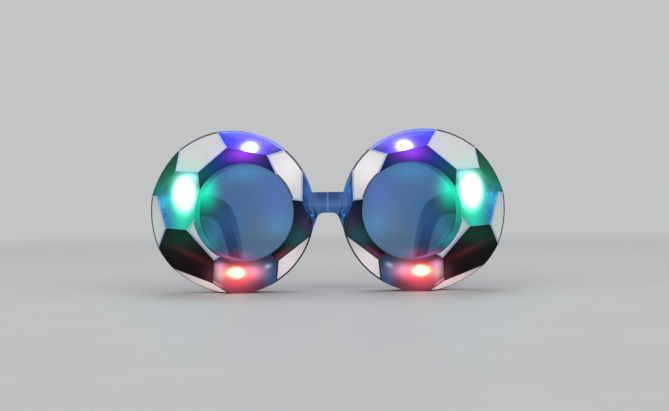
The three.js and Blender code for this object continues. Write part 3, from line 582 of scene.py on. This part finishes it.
# Black nylon, moulded: dull and fine-grained
black_plastic = dressed(
    "moulded_black_nylon", ("#101112", "#191A1B"),
    blotch=2, roughness=(0.45, 0.6), relief=0.01, ripple=0.4, IOR=1.53,
)
# Off-white ABS, moulded: satin, slightly soft in its highlights
button_plastic = dressed(
    "moulded_off_white_abs", ("#C9CDD2", "#D3D6DA"),
    blotch=3, roughness=(0.3, 0.4), relief=0.01, ripple=0.4, IOR=1.54,
)
# Nickel-plated steel, cold headed: bright, with soft uneven gloss
steel = dressed(
    "nickel_plated_headed_steel", ("#B4B6B8", "#C3C4C5"),
    blotch=2, roughness=(0.2, 0.34), relief=0.006, ripple=0.3, Metallic=1.0,
)
# Stainless steel, pressed into a can: paler than the screws, faintly scratched
cell_steel = dressed(
    "pressed_stainless_steel", ("#C2C3C3", "#CDCDCC"),
    blotch=2, roughness=(0.24, 0.36), relief=0.006, ripple=0.25, Metallic=1.0,
)
# Brass, rolled hard for springs: warm yellow, fairly bright
brass = dressed(
    "rolled_spring_brass", ("#B8923F", "#C9A550"),
    blotch=2, roughness=(0.22, 0.36), relief=0.006, ripple=0.3, Metallic=1.0,
)
# Soft PVC, extruded round the wires: deep red with a dull shine
lead_cover = dressed(
    "extruded_red_pvc", ("#8E1414", "#A31B1B"),
    blotch=2, roughness=(0.35, 0.5), relief=0.006, ripple=0.6, IOR=1.53,
)


def lamp_material(name, middle, heart, colours):
    """Cast epoxy, lit from within: almost white about its chip, coloured towards its sides."""
    chip = (middle, (2.2, 2.2), 0, heart, 6.0)
    sides = (middle, (6.0, 6.0), 0, colours[0], 4.0)
    return dressed(
        name, colours, blotch=3, roughness=(0.04, 0.08), relief=0.004, ripple=3,
        glows=(chip, sides), IOR=1.53,
    )


violet_lamp = lamp_material("cast_violet_epoxy", (7.5, 27.5), "#F0F4FF", ("#7A3CFF", "#8448FF"))
green_lamp = lamp_material("cast_green_epoxy", (-19.9, 8.9), "#F4FFFA", ("#10E8A0", "#1CF0AA"))
red_lamp = lamp_material("cast_red_epoxy", (1.3, -25.6), "#FFD488", ("#FF4030", "#FF4C3A"))

# The material and the slot of each kind of node that is dressed as it is
NODE_FINISHES = {
    "lens": (lens_plastic, "lens_tint"),
    "back_cover": (dark_blue, "dark_blue_plastic"),
    "battery_door": (dark_blue, "dark_blue_plastic"),
    "temple": (temple_plastic, "temple_plastic"),
    "circuit_board": (laminate, "board_laminate"),
    "tact_switch": (black_plastic, "black_plastic"),
    "push_button": (button_plastic, "button_plastic"),
    "led_top": (violet_lamp, "violet_lamp"),
    "led_outer": (green_lamp, "green_lamp"),
    "led_bottom": (red_lamp, "red_lamp"),
    "hinge_pin": (steel, "screw_steel"),
    "coin_cell": (cell_steel, "cell_steel"),
    "contact_plus": (brass, "contact_brass"),
    "contact_minus": (brass, "contact_brass"),
}


def rounded_facets(bm):
    """Rounds the edges of the facets, and gives the new faces."""
    mark = bm.faces.layers.int.new("facet")
    for face, _ in facets_of(bm):
        face[mark] = 1
    near = [v for v in bm.verts if any(f[mark] for f in v.link_faces)]
    bmesh.ops.remove_doubles(bm, verts=near, dist=SHORT_EDGE * MM)
    edges = [
        e
        for e in bm.edges
        if any(f[mark] for f in e.link_faces) and e.calc_face_angle_signed() > FACET_CREASE
    ]
    return rounded(bm, edges, FACET_EDGE)


def bare_plastic(face, normal):
    """Which bare plastic shows beside white paint: the dark one, painted shade, at the rim, at the
    lens opening and on facets that face down, and elsewhere the pale edge, painted light."""
    from_ball, from_opening = from_middle(face)
    at_rim = from_ball > RIM_RADIUS - RIM_BAND
    at_opening = from_opening < OPENING_RADIUS + OPENING_BAND
    faces_down = normal.z < -0.3
    return FINISHES.index("deep" if at_rim or at_opening or faces_down else "edge")


def front_moulding():
    """The faceted front, with paint on its facets. White paint is set in from a facet's edges."""
    bm = clean_copy("front_frame")
    rounding = rounded_facets(bm)
    # The lens opening's wall takes the dark copy of the plastic, as painted shade; other faces are
    # clear
    for face in bm.faces:
        in_opening = from_middle(face)[1] < OPENING_RADIUS + WALL_BAND
        is_wall = abs(face.normal.y) < 0.5
        face.material_index = FINISHES.index("deep" if in_opening and is_wall else "clear")
    finish_of = dict(facets_of(bm))
    for face in rounding:
        beside = [f for e in face.edges for f in e.link_faces if f in finish_of]
        if not beside or finish_of[beside[0]] == "white":
            face.material_index = bare_plastic(face, beside[0].normal if beside else face.normal)
        else:
            face.material_index = FINISHES.index(finish_of[beside[0]])
    for face, finish in finish_of.items():
        face.material_index = FINISHES.index(finish)
        if finish == "white":
            normal = face.normal.copy()
            painted, bands = set_in(bm, face, PAINT_MARGIN * MM)
            painted.material_index = FINISHES.index(finish)
            for band in bands:
                band.material_index = bare_plastic(band, normal)
    materials = (clear_blue, white_paint, black_paint, shaded_blue_plastic, painted_light_edge)
    fitted(piece_of(bm, "front_moulding", materials), "clear_blue_plastic", "front_frame")


front_moulding()
for side_name, _ in SIDES:
    for part, (finish, slot) in NODE_FINISHES.items():
        node = f"{side_name}_{part}"
        mesh = clean_copy(node)
        if part in ("back_cover", "battery_door"):
            soften(mesh, at_back)
        if part == "push_button":
            soften(mesh, at_button_face)
        fitted(piece_of(mesh, f"{node}_piece", (finish,)), slot, node)


def node_tree(name, sizes):
    """An empty geometry tree with its named inputs: the points or route, sizes, and material."""
    tree = bpy.data.node_groups.new(name, "GeometryNodeTree")
    face = tree.interface
    face.new_socket("Route", in_out="INPUT", socket_type="NodeSocketGeometry")
    for size in sizes:
        face.new_socket(size, in_out="INPUT", socket_type="NodeSocketFloat")
    face.new_socket("Material", in_out="INPUT", socket_type="NodeSocketMaterial")
    face.new_socket("Piece", in_out="OUTPUT", socket_type="NodeSocketGeometry")
    return tree, add(tree, "NodeGroupInput").outputs


def finish_tree(tree, whole, material):
    """Ends a tree: instances made real, the material set."""
    real = add(tree, "GeometryNodeRealizeInstances", {0: whole}).outputs[0]
    done = add(tree, "GeometryNodeSetMaterial", {"Geometry": real, "Material": material}).outputs[0]
    add(tree, "NodeGroupOutput", {"Piece": done})


def scaled(tree, value, by):
    """A size times a share."""
    return add(tree, "ShaderNodeMath", {0: value, 1: by}, operation="MULTIPLY").outputs[0]


def vector(tree, **parts):
    """A vector from its X, Y and Z."""
    return add(tree, "ShaderNodeCombineXYZ", parts).outputs[0]


def moved(tree, geometry, **along):
    """A geometry moved along X, Y or Z."""
    shift = {"Geometry": geometry, "Translation": vector(tree, **along)}
    return add(tree, "GeometryNodeTransform", shift).outputs[0]


def swept(tree, curve, profile):
    """A closed bar with that profile along a curve."""
    bar = {"Curve": curve, "Profile Curve": profile, "Fill Caps": True}
    return add(tree, "GeometryNodeCurveToMesh", bar).outputs[0]


# A cross-recess screw's proportions. Its outer face is at 0, and it points down.
SKIRT_HEIGHT, CROWN_HEIGHT = 0.6, 0.4  # the head's round side and its slope, of the head's height
CROWN_TOP = 0.78  # the flat top's radius, of the head's
RECESS_SPAN = 1.1  # the cross from end to end, of the head's radius
CORE_THICKNESS, RIDGE_HEIGHT = 0.86, 0.14  # under the thread, and the thread, of the shank's radius
CORE_LENGTH, THREAD_LENGTH = 0.92, 0.8  # of the screw's length
THREAD_START = 0.98  # how far down the thread starts, of the screw's length
HEAD_SIDES, CORE_SIDES, TURN_STEPS = 32, 20, 20


def screw_tree():
    """Cross-recess screws on points: a flat-topped round head, a recess, a shank and its thread."""
    sizes = (
        "Head Radius", "Head Height", "Shank Radius", "Length",
        "Recess Width", "Recess Depth", "Pitch", "Turn",
    )
    tree, given = node_tree("cross_recess_screws", sizes)
    radius, height, shank, length, width, depth, pitch, turn = (given[size] for size in sizes)
    skirt = add(
        tree, "GeometryNodeMeshCylinder",
        {"Vertices": HEAD_SIDES, "Radius": radius, "Depth": scaled(tree, height, SKIRT_HEIGHT)},
    ).outputs[0]
    crown = add(
        tree, "GeometryNodeMeshCone",
        {
            "Vertices": HEAD_SIDES, "Radius Top": scaled(tree, radius, CROWN_TOP),
            "Radius Bottom": radius, "Depth": scaled(tree, height, CROWN_HEIGHT),
        },
    ).outputs[0]
    skirt_middle = scaled(tree, height, -CROWN_HEIGHT - SKIRT_HEIGHT / 2)
    crown_foot = scaled(tree, height, -CROWN_HEIGHT)
    head = add(
        tree, "GeometryNodeMeshBoolean",
        {"Mesh 2": [moved(tree, skirt, Z=skirt_middle), moved(tree, crown, Z=crown_foot)]},
        operation="UNION", solver="EXACT",
    ).outputs[0]
    # Two bars cut the recess, twice as deep, because their middles are at the head's outer face
    span = scaled(tree, radius, RECESS_SPAN)
    twice = scaled(tree, depth, 2.0)
    bars = [
        add(tree, "GeometryNodeMeshCube", {"Size": vector(tree, X=x, Y=y, Z=twice)}).outputs[0]
        for x, y in ((span, width), (width, span))
    ]
    cut_head = add(
        tree, "GeometryNodeMeshBoolean", {"Mesh 1": head, "Mesh 2": bars},
        operation="DIFFERENCE", solver="EXACT",
    ).outputs[0]
    core_radius = scaled(tree, shank, CORE_THICKNESS)
    core = add(
        tree, "GeometryNodeMeshCylinder",
        {
            "Vertices": CORE_SIDES, "Radius": core_radius,
            "Depth": scaled(tree, length, CORE_LENGTH),
        },
    ).outputs[0]
    rise = scaled(tree, length, THREAD_LENGTH)
    turns = add(tree, "ShaderNodeMath", {0: rise, 1: pitch}, operation="DIVIDE").outputs[0]
    helix = add(
        tree, "GeometryNodeCurveSpiral",
        {
            "Resolution": TURN_STEPS, "Start Radius": core_radius, "End Radius": core_radius,
            "Height": rise, "Rotations": turns,
        },
    ).outputs[0]
    ridge = add(
        tree, "GeometryNodeCurvePrimitiveCircle",
        {"Resolution": 4, "Radius": scaled(tree, shank, RIDGE_HEIGHT)},
    ).outputs[0]
    core_middle = scaled(tree, length, CORE_LENGTH / 2 - 1)
    thread_foot = scaled(tree, length, -THREAD_START)
    thread = moved(tree, swept(tree, helix, ridge), Z=thread_foot)
    whole = add(
        tree, "GeometryNodeJoinGeometry", {0: [cut_head, moved(tree, core, Z=core_middle), thread]}
    ).outputs[0]
    placed = add(
        tree, "GeometryNodeInstanceOnPoints",
        {"Points": given["Route"], "Instance": whole, "Rotation": vector(tree, X=turn)},
    ).outputs[0]
    finish_tree(tree, placed, given["Material"])
    return tree


def lead_tree():
    """A two-core lead along a route: two round cores side by side."""
    tree, given = node_tree("two_core_leads", ("Core Radius", "Core Spacing"))
    curve = add(tree, "GeometryNodeMeshToCurve", {"Mesh": given["Route"]}).outputs[0]
    circle = {"Resolution": 10, "Radius": given["Core Radius"]}
    core = add(tree, "GeometryNodeCurvePrimitiveCircle", circle).outputs[0]
    cores = [moved(tree, core, X=scaled(tree, given["Core Spacing"], x)) for x in (-0.5, 0.5)]
    pair = add(tree, "GeometryNodeJoinGeometry", {0: cores}).outputs[0]
    finish_tree(tree, swept(tree, curve, pair), given["Material"])
    return tree


def grown(tree, name, route, edges, **values):
    """Runs a tree on points or on a route, and keeps the result as a plain mesh."""
    mesh = bpy.data.meshes.new(name)
    mesh.from_pydata(route, edges, [])
    piece = bpy.data.objects.new(name, mesh)
    bpy.context.scene.collection.objects.link(piece)
    modifier = piece.modifiers.new(tree.name, "NODES")
    modifier.node_group = tree
    for item in tree.interface.items_tree:
        value_name = item.name.replace(" ", "_")
        if item.in_out == "INPUT" and value_name in values:
            modifier[item.identifier] = values[value_name]
    evaluated = piece.evaluated_get(bpy.context.evaluated_depsgraph_get())
    piece.data = bpy.data.meshes.new_from_object(evaluated)
    piece.modifiers.clear()
    return piece


def head_top(node, back):
    """The middle of a screw's head on its outer face, which looks back or to the front."""
    low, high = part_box(node)
    middle = (low + high) / 2
    middle.y = high.y if back else low.y
    return middle


def screws(name, parts, head, shank, length, back):
    """One finished piece with the screws of both sides that have that place and size."""
    stands_for = [f"{side_name}_{part}" for side_name, _ in SIDES for part in parts]
    piece = grown(
        screw_nodes, name, [head_top(node, back) for node in stands_for], [],
        Head_Radius=head * MM, Head_Height=0.9 * MM, Shank_Radius=shank * MM, Length=length * MM,
        Recess_Width=0.5 * MM, Recess_Depth=0.5 * MM, Pitch=0.7 * MM,
        Turn=math.radians(-90 if back else 90), Material=steel,
    )
    fitted(piece, "screw_steel", *stands_for)


# The corners of a CAD lead's section
LEAD_SIDES = 6


def route_of(node):
    """The middle line of a CAD lead: the middles of its rings, from one end's cap to the other."""
    bm = bmesh.new()
    bm.from_mesh(nodes[node].data)
    bmesh.ops.remove_doubles(bm, verts=bm.verts, dist=SAME_SPOT * MM)
    flat = clean_copy(node)
    caps = [f for f in flat.faces if len(f.verts) == LEAD_SIDES]
    cap = [v.co.copy() for v in max(caps, key=lambda f: f.calc_area()).verts]
    flat.free()
    near = 2 * SAME_SPOT * MM
    ring = [v for v in bm.verts if any((v.co - spot).length < near for spot in cap)]
    seen, middles = set(ring), []
    while ring:
        middles.append(sum((v.co for v in ring), Vector()) / len(ring))
        beyond = {e.other_vert(v) for v in ring for e in v.link_edges} - seen
        seen |= beyond
        ring = list(beyond)
    bm.free()
    return middles


COVER_SCREWS = ("cover_screw_top", "cover_screw_inner", "cover_screw_bottom")
screw_nodes = screw_tree()
screws("cover_screws", COVER_SCREWS, head=1.7, shank=0.8, length=6.0, back=True)
screws("battery_door_screws", ("battery_door_screw",), head=1.7, shank=0.8, length=4.4, back=True)
screws("board_screws", ("board_screw",), head=1.5, shank=0.7, length=4.2, back=False)
lead_nodes = lead_tree()
for side_name, _ in SIDES:
    for part in ("lead_top", "lead_bottom"):
        node = f"{side_name}_{part}"
        middles = route_of(node)
        steps = [(i, i + 1) for i in range(len(middles) - 1)]
        lead = grown(
            lead_nodes, f"{node}_cores", middles, steps,
            Core_Radius=0.27 * MM, Core_Spacing=0.52 * MM, Material=lead_cover,
        )
        fitted(lead, "lead_cover", node)

# Floor, background and light, in metres
BACKGROUND = "#C3C4C5"
FLOOR_RADIUS = 12
FLOOR_FADE = (0.25, 1.1)
LIGHT_AIM = Vector((0, 0, 0.03))


def seen_by_eye(tree):
    """1 where a surface is seen directly, mirrored or through clear plastic, 0 where it lights."""
    path = add(tree, "ShaderNodeLightPath").outputs
    seen = path["Is Camera Ray"]
    for ray in ("Is Glossy Ray", "Is Transmission Ray"):
        either = {0: seen, 1: path[ray]}
        seen = add(tree, "ShaderNodeMath", either, operation="MAXIMUM").outputs[0]
    return seen


def floor_material():
    """Matt grey card. Far from the glasses it takes the background's colour, so no edge shows."""
    made = dressed(
        "matt_pale_grey_card", ("#C2C3C4", "#C5C6C7"),
        blotch=40, roughness=(0.55, 0.65), relief=0.01, ripple=2, IOR=1.45,
    )
    tree = made.node_tree
    card = tree.nodes["Principled BSDF"].outputs[0]
    place = add(tree, "ShaderNodeTexCoord").outputs["Object"]
    away = add(tree, "ShaderNodeVectorMath", {0: place}, operation="LENGTH").outputs["Value"]
    far = add(
        tree, "ShaderNodeMapRange", {0: away, 1: FLOOR_FADE[0], 2: FLOOR_FADE[1]},
        interpolation_type="SMOOTHSTEP",
    ).outputs[0]
    plain = add(tree, "ShaderNodeEmission", {"Color": linear(BACKGROUND), "Strength": 1.0})
    share = add(
        tree, "ShaderNodeMath", {0: far, 1: seen_by_eye(tree)}, operation="MULTIPLY"
    ).outputs[0]
    mixed = add(tree, "ShaderNodeMixShader", {0: share, 1: card, 2: plain.outputs[0]}).outputs[0]
    tree.links.new(mixed, tree.nodes["Material Output"].inputs["Surface"])
    return made


def floor():
    """A wide round card under the glasses."""
    bm = bmesh.new()
    bmesh.ops.create_circle(bm, cap_ends=True, segments=96, radius=FLOOR_RADIUS)
    card = piece_of(bm, "floor_card", (floor_material(),))


def softbox(name, place, size, power):
    """A soft square lamp that faces the glasses."""
    light = bpy.data.lights.new(name, "AREA")
    light.shape = "SQUARE"
    light.size = size
    light.energy = power
    lamp = bpy.data.objects.new(name, light)
    lamp.location = place
    lamp.rotation_mode = "QUATERNION"
    lamp.rotation_quaternion = (Vector(place) - LIGHT_AIM).to_track_quat("Z", "Y")
    bpy.context.scene.collection.objects.link(lamp)


def studio_air():
    """An even pale light from all round, behind which the plain background is seen."""
    world = bpy.data.worlds.new("studio_air")
    bpy.context.scene.world = world
    world.use_nodes = True
    tree = world.node_tree
    sky = tree.nodes["Background"]
    sky.inputs["Color"].default_value = linear("#D8D8DA")
    sky.inputs["Strength"].default_value = 0.5
    backdrop = add(tree, "ShaderNodeBackground", {"Color": linear(BACKGROUND), "Strength": 1.0})
    shaders = {0: seen_by_eye(tree), 1: sky.outputs[0], 2: backdrop.outputs[0]}
    both = add(tree, "ShaderNodeMixShader", shaders).outputs[0]
    tree.links.new(both, tree.nodes["World Output"].inputs["Surface"])


floor()
softbox("left_softbox", (-0.8, -0.7, 0.8), size=0.9, power=4.0)
softbox("right_softbox", (0.8, -0.7, 0.8), size=0.9, power=4.0)
softbox("top_softbox", (0.0, 0.3, 1.2), size=1.0, power=6.0)
studio_air()

# Camera at the picture's viewing angle: straight in front, level with the middle of the balls, and
# turned a little, as the glasses lean in the picture
CAMERA_DISTANCE = 462.6
CAMERA_ROLL = -0.69
camera_data = bpy.data.cameras.new("front_camera")
camera_data.sensor_width = 36
camera_data.lens = 50.1
camera_data.shift_x = 0.0099
camera_data.shift_y = 0.0087
camera_data.clip_start = 0.01
camera_data.clip_end = 10
camera = bpy.data.objects.new("front_camera", camera_data)
camera.matrix_world = (
    Matrix.Translation((0, -CAMERA_DISTANCE * MM, BALL_Z * MM))
    @ Matrix.Rotation(math.radians(90), 4, "X")
    @ Matrix.Rotation(math.radians(CAMERA_ROLL), 4, "Z")
)
bpy.context.scene.collection.objects.link(camera)
bpy.context.scene.camera = camera
bpy.context.scene.view_settings.view_transform = "Standard"
